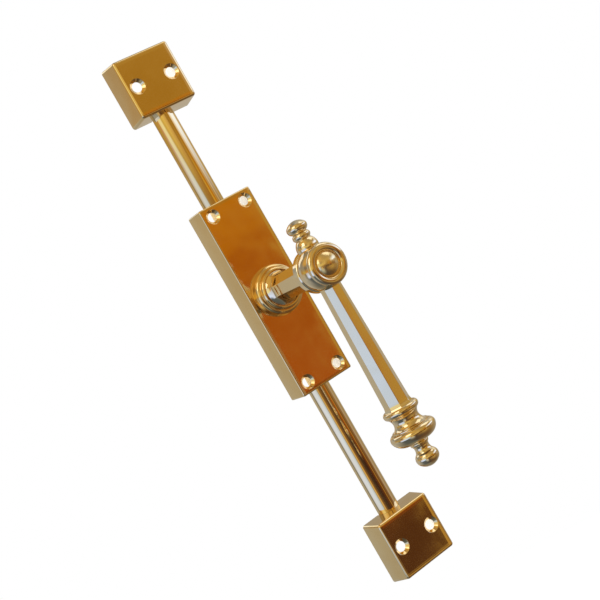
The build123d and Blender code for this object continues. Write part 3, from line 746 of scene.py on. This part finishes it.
def shellSize(node, draft):
    # width, height and depth of a shell; its front face is smaller than its foot by the draft on each side
    low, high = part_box(node)
    width, height = (high.x - low.x) / mm, (high.z - low.z) / mm
    return {"face": (width - 2 * draft, height - 2 * draft), "draft": draft, "depth": -low.y / mm}


def screwPlaces(mount):
    x, z = mount["spacing_x_mm"] / 2, mount.get("spacing_y_mm", 0.0) / 2
    return {"holeRadius": mount["hole_r_mm"], "holes": [(i, j) for i in (-x, x) for j in sorted({-z, z})]}


caseShell = {
    **shellSize("gear_case", draft=0.0), **screwPlaces(screwHoles["case_screws"]),
    "wall": 2.0, "frontWall": 2.2, "rounding": 1.0, "sinkRadius": 4.2, "crownWidth": 2.6, "crownTilt": 1.2,
    "bores": [(0.0, 0.0, 6.06), (0.0, 12.4, 1.4), (0.0, -12.4, 1.4)],   # x, z and radius
    "boreReach": (10.0, 20.0), "notchReach": 3.0,
}
keepShell = {
    **shellSize("upper_keep", draft=1.25), **screwPlaces(screwHoles["upper_keep_screws"]),
    "wall": 1.8, "frontWall": 1.8, "rounding": 1.5, "sinkRadius": 4.6, "crownWidth": 3.2, "crownTilt": 1.2,
    "bores": [], "notchReach": 4.0,
}
rodNotch = {"radius": 7.15, "flat": 1.0, "overrun": 1.0}
# a countersink's rim turns into the face through these steps, outwards and forwards from its edge
sinkCut = {"rim": [(-0.1, -0.12), (0.088, -0.02), (0.264, 0.25)], "shoulder": 0.05, "overrun": 1.0}
roundAngles = (0, 9, 18, 27, 36, 45)   # grid lines in a rounded edge
borderSteps = 8


def spreadAlong(length, rounding, crown):
    # grid lines across a face: close together in the rounded edge and the crowned border
    edge = [rounding * (1 - math.tan(math.radians(a))) for a in reversed(roundAngles)]
    border = [rounding + (crown - rounding) * t / borderSteps for t in range(1, borderSteps + 1)]
    start = edge + border
    half = length / 2
    inner = half - start[-1]
    middle = [inner - 2 * inner * t / borderSteps for t in range(1, borderSteps)]
    return [-half + s for s in start] + [-m for m in middle] + [half - s for s in reversed(start)]


def shellOutside(spec, centre):
    width, height = spec["face"]
    depth, rounding = spec["depth"], spec["rounding"]
    xs, zs = [spreadAlong(length, rounding, spec["crownWidth"]) for length in (width, height)]
    ys = [0.0, depth / 2] + [depth - rounding * (1 - math.tan(math.radians(a))) for a in roundAngles]

    def place(x, forward, z):
        # round the box: keep the direction from the inner core, at the rounding's distance
        coreX = max(-width / 2 + rounding, min(width / 2 - rounding, x))
        coreZ = max(-height / 2 + rounding, min(height / 2 - rounding, z))
        coreY = min(depth - rounding, forward)
        offset = Vector((x - coreX, forward - coreY, z - coreZ))
        if offset.length > 1e-9:
            offset = offset.normalized() * rounding
        point = Vector((coreX, coreY, coreZ)) + offset
        # the face falls away a little towards its border
        if forward > depth - rounding * 1.01:
            for reach, limit in ((abs(point.x), width / 2), (abs(point.z), height / 2)):
                inBorder = max(0.0, reach - limit + spec["crownWidth"])
                fall = math.tan(math.radians(spec["crownTilt"])) * inBorder * min(1.0, inBorder)
                point.y -= fall * min(1.0, max(0.0, (forward - depth + rounding) / rounding))
        grow = spec["draft"] * (1 - point.y / depth)
        x = point.x * (1 + grow * 2 / width)
        z = point.z * (1 + grow * 2 / height)
        return (x * mm, -point.y * mm, (centre + z) * mm)

    mesh = bmesh.new()
    made = {}

    def vertex(x, forward, z):
        key = (round(x, 5), round(forward, 5), round(z, 5))
        if key not in made:
            made[key] = mesh.verts.new(place(x, forward, z))
        return made[key]

    def patch(rows, columns, corner):
        for a, b in zip(rows, rows[1:]):
            for c, d in zip(columns, columns[1:]):
                mesh.faces.new([vertex(*corner(*pair)) for pair in ((a, c), (b, c), (b, d), (a, d))])

    patch(xs, zs, lambda x, z: (x, depth, z))
    patch(xs, zs, lambda x, z: (x, 0.0, z))
    for side in (xs[0], xs[-1]):
        patch(ys, zs, lambda y, z: (side, y, z))
    for side in (zs[0], zs[-1]):
        patch(xs, ys, lambda x, y: (x, y, side))
    bmesh.ops.recalc_face_normals(mesh, faces=mesh.faces)
    result = bpy.data.meshes.new("shellOutside")
    mesh.to_mesh(result)
    mesh.free()
    return result


def taperedBox(spec, centre):
    # the hollow inside a shell, open at the back
    width, height = (spec["face"][i] / 2 - spec["wall"] for i in (0, 1))
    behind, front = -1.0, spec["depth"] - spec["frontWall"]
    slope = spec["draft"] / spec["depth"]
    rings = []
    for forward in (behind, front):
        grow = slope * (spec["depth"] - forward)
        w, h = width + grow, height + grow
        rings.append([(x * w, -forward, centre + z * h) for x, z in ((1, 1), (-1, 1), (-1, -1), (1, -1))])
    return ringsMesh("hollow", rings)


def cylinderMesh(name, x, z, radius, low, high, segments, soften):
    points = [(0.0, low), (radius, low), (radius, high), (0.0, high)]
    return latheMesh(name, points, aroundPoint(x, z), segments=segments, soften=soften)


def countersinkCutter(x, z, spec):
    depth, hole, sinkRadius = spec["depth"], spec["holeRadius"], spec["sinkRadius"]
    inside = depth - spec["frontWall"] - sinkCut["overrun"]
    sinkFoot = depth - (sinkRadius - hole) - sinkCut["shoulder"]
    points = [(0.0, inside), (hole, inside), (hole, sinkFoot)]
    points += [(sinkRadius + outward, depth + forward) for outward, forward in sinkCut["rim"]]
    points.append((0.0, points[-1][1]))
    return latheMesh("sink", points, aroundPoint(x, z), segments=64, soften=0.05)


def notchCutter(low, high):
    def place(radius, level, angle):
        return (radius * math.cos(angle), -rodNotch["flat"] + radius * math.sin(angle), level)
    points = [(0.0, low), (rodNotch["radius"], low), (rodNotch["radius"], high), (0.0, high)]
    return latheMesh("notch", points, place, segments=128, soften=0.0)


def makeShell(name, spec, centre, notches):
    piece = bpy.data.objects.new(name, shellOutside(spec, centre))
    scene.collection.objects.link(piece)
    cutters = [taperedBox(spec, centre)]
    cutters += [countersinkCutter(x, centre + z, spec) for x, z in spec["holes"]]
    cutters += [cylinderMesh("bore", x, z, radius, *spec["boreReach"], segments=96, soften=0.0)
                for x, z, radius in spec["bores"]]
    cutters += [notchCutter(*notch) for notch in notches]
    cutOut(piece, cutters)
    return piece


def paintInside(piece, spec, centre):
    # the hollow side gets the pale, unpolished inside material with its painted glow
    piece.data.materials.append(materials["paleGlowingInside"])
    margin = 0.05
    across, along = [side / 2 - spec["wall"] + spec["draft"] + margin for side in spec["face"]]
    for face in piece.data.polygons:
        middle = face.center / mm
        inside = (abs(middle.x) < across and abs(middle.z - centre) < along
                  and -middle.y < spec["depth"] - spec["frontWall"] + margin)
        face.material_index = 1 if inside else 0


def joinInto(piece, meshes):
    joined = bmesh.new()
    joined.from_mesh(piece.data)
    for mesh in meshes:
        part = bmesh.new()
        part.from_mesh(mesh)
        bmesh.ops.recalc_face_normals(part, faces=part.faces)
        part.to_mesh(mesh)
        part.free()
        joined.from_mesh(mesh)
        bpy.data.meshes.remove(mesh)
    joined.to_mesh(piece.data)
    joined.free()


# inside the case: bosses for the back plate's screws, and ribs that guide the racks
bosses = {"x": 13.0, "z": 44.0, "radius": 3.0, "from": 0.9, "to": 13.9}
guides = {"x": 11.0, "width": 2.0, "length": 80.0, "from": 8.5, "to": 13.9}


def bossMesh(spec, x, z):
    return cylinderMesh("boss", x, z, spec["radius"], spec["from"], spec["to"], segments=48, soften=0.1)


def guideMesh(spec, x):
    side, end = spec["width"] / 2, spec["length"] / 2
    return boxMesh("guide", (x - side, -spec["to"], -end), (x + side, -spec["from"], end))


overrun = rodNotch["overrun"]
caseEnd = caseShell["face"][1] / 2
notchStart = caseEnd - caseShell["notchReach"]
caseNotches = [(-caseEnd - overrun, -notchStart), (notchStart, caseEnd + overrun)]
case = makeShell("caseShell", caseShell, 0.0, caseNotches)
joinInto(case, [
    *[bossMesh(bosses, x, z) for x in (-bosses["x"], bosses["x"]) for z in (-bosses["z"], bosses["z"])],
    *[guideMesh(guides, x) for x in (-guides["x"], guides["x"])],
])
settle(sharpenAndFinish(case), "case", "case_brass", "caseBrass", "gear_case")
paintInside(case, caseShell, 0.0)
for name, node, direction in (("upperKeepBox", "upper_keep", 1), ("lowerKeepBox", "lower_keep", -1)):
    low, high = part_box(node)
    centre = (low.z + high.z) / 2 / mm
    mouth = centre - direction * (keepShell["face"][1] / 2 + keepShell["draft"])
    notch = sorted((mouth - direction * overrun, mouth + direction * keepShell["notchReach"]))
    keep = makeShell(name, keepShell, centre, [notch])
    settle(sharpenAndFinish(keep), "case", "keep_brass", "keepBrass", node)
    paintInside(keep, keepShell, centre)
print("case and keeps made")


def makeScrewTree():
    # slotted screws on a grid, heads to the back and shanks to the front, each slot turned its own way
    tree, size = newShapeTree("slottedScrews", {
        "Head Radius": "Float", "Head Front Radius": "Float", "Head Height": "Float",
        "Shank Radius": "Float", "Length": "Float", "Slot Width": "Float", "Slot Depth": "Float",
        "Spacing X": "Float", "Spacing Z": "Float", "Count X": "Int", "Count Z": "Int",
        "Centre": "Vector", "Seed": "Int", "Material": "Material"})
    head = addNode(tree, "GeometryNodeMeshCone", {
        "Vertices": 48, "Radius Bottom": size["Head Radius"], "Radius Top": size["Head Front Radius"],
        "Depth": size["Head Height"]})
    shank = addNode(tree, "GeometryNodeMeshCylinder", {
        "Vertices": 40, "Radius": size["Shank Radius"], "Depth": size["Length"]})
    middle = mathNode(tree, "MULTIPLY", size["Length"], 0.5)
    raised = addNode(tree, "GeometryNodeTransform", {
        "Geometry": shank.outputs[0],
        "Translation": addNode(tree, "ShaderNodeCombineXYZ", {2: middle}).outputs[0]})
    deep = mathNode(tree, "MULTIPLY", size["Slot Depth"], 2.0)
    wide = mathNode(tree, "MULTIPLY", size["Head Radius"], 3.0)
    slotSize = addNode(tree, "ShaderNodeCombineXYZ", {0: wide, 1: size["Slot Width"], 2: deep})
    slot = addNode(tree, "GeometryNodeMeshCube", {"Size": slotSize.outputs[0]})
    whole = tree.nodes.new("GeometryNodeMeshBoolean")
    whole.operation = "UNION"
    tree.links.new(raised.outputs[0], whole.inputs["Mesh 2"])
    tree.links.new(head.outputs[0], whole.inputs["Mesh 2"])
    slotted = addNode(tree, "GeometryNodeMeshBoolean", {
        "Mesh 1": whole.outputs[0], "Mesh 2": slot.outputs[0]}, operation="DIFFERENCE")
    places = addNode(tree, "GeometryNodeMeshGrid", {
        "Size X": size["Spacing X"], "Size Y": size["Spacing Z"], "Vertices X": size["Count X"],
        "Vertices Y": size["Count Z"]})
    anyTurn = addNode(tree, "FunctionNodeRandomValue", {"Seed": size["Seed"]}, data_type="FLOAT")
    turn = mathNode(tree, "MULTIPLY", anyTurn.outputs[1], math.pi)
    spread = addNode(tree, "GeometryNodeInstanceOnPoints", {
        "Points": places.outputs[0], "Instance": slotted.outputs[0],
        "Rotation": addNode(tree, "ShaderNodeCombineXYZ", {2: turn}).outputs[0]})
    placed = addNode(tree, "GeometryNodeTransform", {
        "Geometry": spread.outputs[0], "Translation": size["Centre"], "Rotation": (math.pi / 2, 0, 0)})
    finishTree(tree, placed.outputs[0], size["Material"])
    return tree


# millimetres; a countersunk head runs down to the shank, a flat one keeps its radius
rodScrew = {"headRadius": 2.5, "headFront": 1.25, "headHeight": 1.25, "shank": 1.25,
            "slotWidth": 0.6, "slotDepth": 0.6, "columns": 1, "rows": 2}
screwSets = {
    "backPlateScrews": {
        "node": "back_plate_screws", "body": "case", "headRadius": 2.1, "headFront": 1.2, "headHeight": 0.9,
        "shank": 1.15, "slotWidth": 0.5, "slotDepth": 0.4, "columns": 2, "rows": 2, "seed": 3},
    "rosetteScrews": {
        "node": "rosette_screws", "body": "case", "headRadius": 2.5, "headFront": 2.5, "headHeight": 1.6,
        "shank": 1.3, "slotWidth": 0.6, "slotDepth": 0.8, "columns": 1, "rows": 2, "seed": 5},
    "upperRodScrews": {**rodScrew, "node": "upper_rod_screws", "body": "upper_bolt", "seed": 7},
    "lowerRodScrews": {**rodScrew, "node": "lower_rod_screws", "body": "lower_bolt", "seed": 11},
}
screwTree = makeScrewTree()
for name, spec in screwSets.items():
    low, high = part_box(spec["node"])
    headWidth = 2 * spec["headRadius"] * mm
    piece = growPiece(name, screwTree, {
        "Head Radius": spec["headRadius"] * mm, "Head Front Radius": spec["headFront"] * mm,
        "Head Height": spec["headHeight"] * mm, "Shank Radius": spec["shank"] * mm,
        "Length": high.y - low.y,
        "Slot Width": spec["slotWidth"] * mm, "Slot Depth": spec["slotDepth"] * mm,
        "Spacing X": high.x - low.x - headWidth, "Spacing Z": high.z - low.z - headWidth,
        "Count X": spec["columns"], "Count Z": spec["rows"], "Seed": spec["seed"],
        "Centre": ((low.x + high.x) / 2, high.y, (low.z + high.z) / 2),
        "Material": materials["screwSteel"]})
    settle(piece, spec["body"], "screw_steel", "screwSteel", spec["node"])
print("screws placed")

# the pieces that keep the frame's own shape
nodeFinishes = {
    "case_back_plate": "platedSteel", "pivot_stud": "machinedSteel", "drive_pinion": "machinedSteel",
    "spindle": "machinedSteel", "hub_pin": "machinedSteel", "tie_rod": "machinedSteel",
    "neck_grub_screw": "screwSteel", "upper_rack": "rackBrass", "lower_rack": "rackBrass",
}
for node, finish in nodeFinishes.items():
    slots = frame["nodes"][node].data.materials
    slots.clear()
    slots.append(materials[finish])
print("frame nodes finished")

# metres; the drop is how far below the bolt it lies
floorDisc = {"radius": 1.3, "drop": 0.42, "sides": 96, "mottleScale": 6.0, "tones": (0.90, 0.94),
             "roughness": 0.9, "glow": 0.25}


def makeFloor(spec):
    level = cadBox[0][2] - spec["drop"]
    bpy.ops.mesh.primitive_circle_add(
        vertices=spec["sides"], radius=spec["radius"], fill_type="NGON", location=(0, 0, level))
    floor = bpy.context.object
    floor.name = "floor"
    material, tree, shader = newMaterial("floorWhite")
    place = addNode(tree, "ShaderNodeTexCoord").outputs["Object"]
    mottle = addNode(tree, "ShaderNodeTexNoise", {
        "Vector": place, "Scale": spec["mottleScale"], "Detail": 3.0})
    dark, light = spec["tones"]
    tone = rampNode(tree, mottle.outputs["Fac"], [(0.3, grey(dark)), (0.7, grey(light))])
    tree.links.new(tone.outputs[0], shader.inputs["Base Color"])
    shader.inputs["Roughness"].default_value = spec["roughness"]
    shader.inputs["Emission Color"].default_value = (1, 1, 1, 1)
    shader.inputs["Emission Strength"].default_value = spec["glow"]
    floor.data.materials.append(material)
    floor.visible_glossy = False   # the metal sees the room, not the sweep under it


studio = {
    # light seen in the metal, by height (degrees above level) and by compass angle: 0 in front, -90 left
    "bands": [
        (-60, [(-180, (0.22, 0.20, 0.16)), (-100, (0.10, 0.12, 0.14)), (-30, (0.08, 0.06, 0.05)),
               (60, (0.14, 0.08, 0.04)), (180, (0.22, 0.20, 0.16))]),
        (-20, [(-180, (0.50, 0.49, 0.47)), (-125, (0.34, 0.35, 0.37)), (-96, (0.09, 0.11, 0.14)),
               (-66, (0.10, 0.13, 0.17)), (-52, (0.50, 0.55, 0.60)), (-42, (0.60, 0.62, 0.60)),
               (-28, (0.10, 0.06, 0.04)), (-4, (0.30, 0.18, 0.06)), (27, (0.50, 0.33, 0.10)),
               (60, (0.34, 0.22, 0.08)), (120, (0.36, 0.30, 0.22)), (180, (0.50, 0.49, 0.47))]),
        (-11, [(-180, (0.45, 0.43, 0.40)), (-150, (0.44, 0.43, 0.40)), (-128, (0.42, 0.43, 0.46)),
               (-113, (0.22, 0.23, 0.22)), (-100, (0.74, 0.92, 1.60)), (-75, (0.72, 0.94, 1.65)),
               (-60, (0.60, 0.80, 1.35)), (-51, (0.40, 0.34, 0.26)), (-43, (0.78, 0.54, 0.16)),
               (-35, (0.24, 0.12, 0.04)), (-14, (0.06, 0.04, 0.03)), (4, (0.055, 0.022, 0.016)),
               (24, (0.10, 0.04, 0.02)), (28.5, (0.46, 0.28, 0.06)), (32.5, (0.46, 0.28, 0.06)),
               (37, (0.12, 0.05, 0.02)), (44, (0.18, 0.09, 0.04)), (60, (0.24, 0.14, 0.07)),
               (70, (0.48, 0.43, 0.42)), (85, (0.40, 0.33, 0.24)), (104, (0.34, 0.28, 0.20)),
               (140, (0.60, 0.62, 0.66)), (180, (0.45, 0.43, 0.40))]),
        (3, [(-180, (0.46, 0.42, 0.35)), (-150, (0.46, 0.42, 0.35)), (-128, (0.48, 0.43, 0.33)),
             (-112, (0.24, 0.20, 0.13)), (-101, (0.60, 0.70, 1.00)), (-82, (0.66, 0.82, 1.30)),
             (-57, (0.58, 0.74, 1.15)), (-50, (0.36, 0.30, 0.20)), (-40, (0.34, 0.21, 0.07)),
             (-20, (0.32, 0.17, 0.04)), (0, (0.34, 0.17, 0.03)), (12, (0.66, 0.42, 0.07)),
             (19, (0.56, 0.30, 0.03)), (30, (0.50, 0.32, 0.07)), (44, (0.34, 0.20, 0.05)),
             (55, (0.62, 0.46, 0.22)), (62, (0.30, 0.20, 0.09)), (85, (0.45, 0.34, 0.16)),
             (117, (0.42, 0.31, 0.12)),
             (150, (0.56, 0.54, 0.48)), (180, (0.46, 0.42, 0.35))]),
        (9, [(-180, (0.45, 0.45, 0.44)), (-152, (0.45, 0.45, 0.44)), (-138, (0.42, 0.26, 0.08)),
             (-114, (0.52, 0.38, 0.09)), (-95, (0.56, 0.28, 0.06)), (-82, (0.86, 0.84, 0.55)),
             (-66, (0.92, 0.92, 0.62)), (-51, (0.66, 0.50, 0.12)), (-33, (0.80, 0.62, 0.20)),
             (-14, (0.70, 0.50, 0.18)), (4, (0.36, 0.21, 0.04)), (30, (0.42, 0.25, 0.05)),
             (38, (0.90, 0.84, 0.80)),
             (58, (1.10, 1.35, 2.10)), (82, (1.10, 1.35, 2.10)), (97, (0.60, 0.48, 0.26)),
             (130, (0.56, 0.48, 0.38)), (152, (0.37, 0.27, 0.15)), (180, (0.45, 0.45, 0.44))]),
        (26, [(-180, (0.28, 0.29, 0.31)), (-115, (0.30, 0.28, 0.24)), (-100, (0.16, 0.13, 0.09)),
              (-84, (0.84, 0.82, 0.74)), (-52, (0.80, 0.70, 0.46)), (-38, (0.30, 0.20, 0.08)),
              (-15, (0.56, 0.40, 0.14)), (27, (0.52, 0.36, 0.11)), (60, (0.34, 0.24, 0.10)),
              (80, (0.60, 0.50, 0.30)), (108, (1.00, 0.98, 0.94)), (125, (0.5, 0.46, 0.4)),
              (180, (0.28, 0.29, 0.31))]),
        (42, [(-180, (0.20, 0.22, 0.25)), (-135, (0.30, 0.24, 0.16)), (-112, (0.62, 0.38, 0.10)),
              (-50, (0.62, 0.40, 0.11)), (27, (0.40, 0.28, 0.11)), (110, (0.46, 0.44, 0.40)),
              (180, (0.20, 0.22, 0.25))]),
    ],
    # the warm wall that the case's and keeps' faces look at
    "warmWall": {"from": (14.0, 21.0), "to": (29.0, 29.7), "foot": (-22, -16), "head": (12, 18), "stops": [
        (-14, (0.089, 0.037, 0.016)), (-10.5, (0.16, 0.05, 0.012)), (-7, (0.39, 0.105, 0.014)),
        (-1, (0.364, 0.103, 0.009)), (3.6, (0.51, 0.205, 0.008)), (8.5, (0.391, 0.221, 0.034)),
        (16, (0.45, 0.28, 0.06))]},
}


def makeWorld(spec):
    world = bpy.data.worlds.new("studio")
    scene.world = world
    world.use_nodes = True
    tree = world.node_tree
    tree.nodes.clear()
    direction = addNode(tree, "ShaderNodeTexCoord").outputs["Generated"]
    parts = addNode(tree, "ShaderNodeSeparateXYZ", {0: direction})
    ahead = mathNode(tree, "MULTIPLY", parts.outputs[1], -1.0)
    compass = mathNode(tree, "MULTIPLY", mathNode(tree, "ARCTAN2", parts.outputs[0], ahead), 180 / math.pi)
    turn = mathNode(tree, "MULTIPLY_ADD", compass, 1 / 360, 0.5)
    height = mathNode(tree, "MULTIPLY", mathNode(tree, "ARCSINE", parts.outputs[2]), 180 / math.pi)

    def step(value, start, end):
        return addNode(tree, "ShaderNodeMapRange", {"Value": value, "From Min": start, "From Max": end},
                       interpolation_type="SMOOTHSTEP").outputs[0]

    def band(stops):
        return rampNode(tree, turn, [((angle + 180) / 360, colour) for angle, colour in stops]).outputs[0]

    def mix(first, second, amount):
        node = addNode(tree, "ShaderNodeMix", data_type="RGBA")
        for socket, value in (("Factor", amount), (6, first), (7, second)):
            tree.links.new(value, node.inputs[socket])
        return node.outputs[2]

    bands = spec["bands"]
    lowest = bands[0][1]
    room = band(lowest)
    for (lower, _), (upper, stops) in zip(bands, bands[1:]):
        room = mix(room, band(stops), step(height, lower, upper))
    wall = spec["warmWall"]
    levels = [level for level, _ in wall["stops"]]
    span = levels[-1] - levels[0]
    rise = mathNode(tree, "MULTIPLY_ADD", height, 1 / span, -levels[0] / span)
    wallStops = [((level - levels[0]) / span, colour) for level, colour in wall["stops"]]
    wallColour = rampNode(tree, rise, wallStops)
    inWall = mathNode(tree, "SUBTRACT", step(compass, *wall["from"]), step(compass, *wall["to"]))
    inWall = mathNode(tree, "MULTIPLY", inWall, step(height, *wall["foot"]))
    belowHead = mathNode(tree, "SUBTRACT", 1.0, step(height, *wall["head"]))
    inWall = mathNode(tree, "MULTIPLY", inWall, belowHead)
    room = mix(room, wallColour.outputs[0], inWall)
    seen = addNode(tree, "ShaderNodeBackground", {"Color": room, "Strength": 1.0})
    plain = addNode(tree, "ShaderNodeBackground", {"Color": (1, 1, 1, 1), "Strength": 1.0})
    glossy = addNode(tree, "ShaderNodeLightPath").outputs["Is Glossy Ray"]
    both = addNode(tree, "ShaderNodeMixShader", {0: glossy, 1: plain.outputs[0], 2: seen.outputs[0]})
    output = tree.nodes.new("ShaderNodeOutputWorld")
    tree.links.new(both.outputs[0], output.inputs["Surface"])


# metres and watts; each one faces the origin
softLights = {
    "keyLight": {"place": (-0.9, -0.5, 0.9), "size": 0.6, "power": 1.3},
    "fillLight": {"place": (0.9, -0.3, 1.1), "size": 0.8, "power": 1.6},
    "backLight": {"place": (-0.2, 1.0, 0.9), "size": 0.8, "power": 1.6},
}


def makeLights(lights):
    for name, spec in lights.items():
        data = bpy.data.lights.new(name, "AREA")
        data.shape = "SQUARE"
        data.size = spec["size"]
        data.energy = spec["power"]
        light = bpy.data.objects.new(name, data)
        scene.collection.objects.link(light)
        light.location = spec["place"]
        light.rotation_euler = (-Vector(spec["place"])).to_track_quat("-Z", "Y").to_euler()


makeFloor(floorDisc)
makeWorld(studio)
makeLights(softLights)
print("studio ready,", len(shownPieces), "pieces")
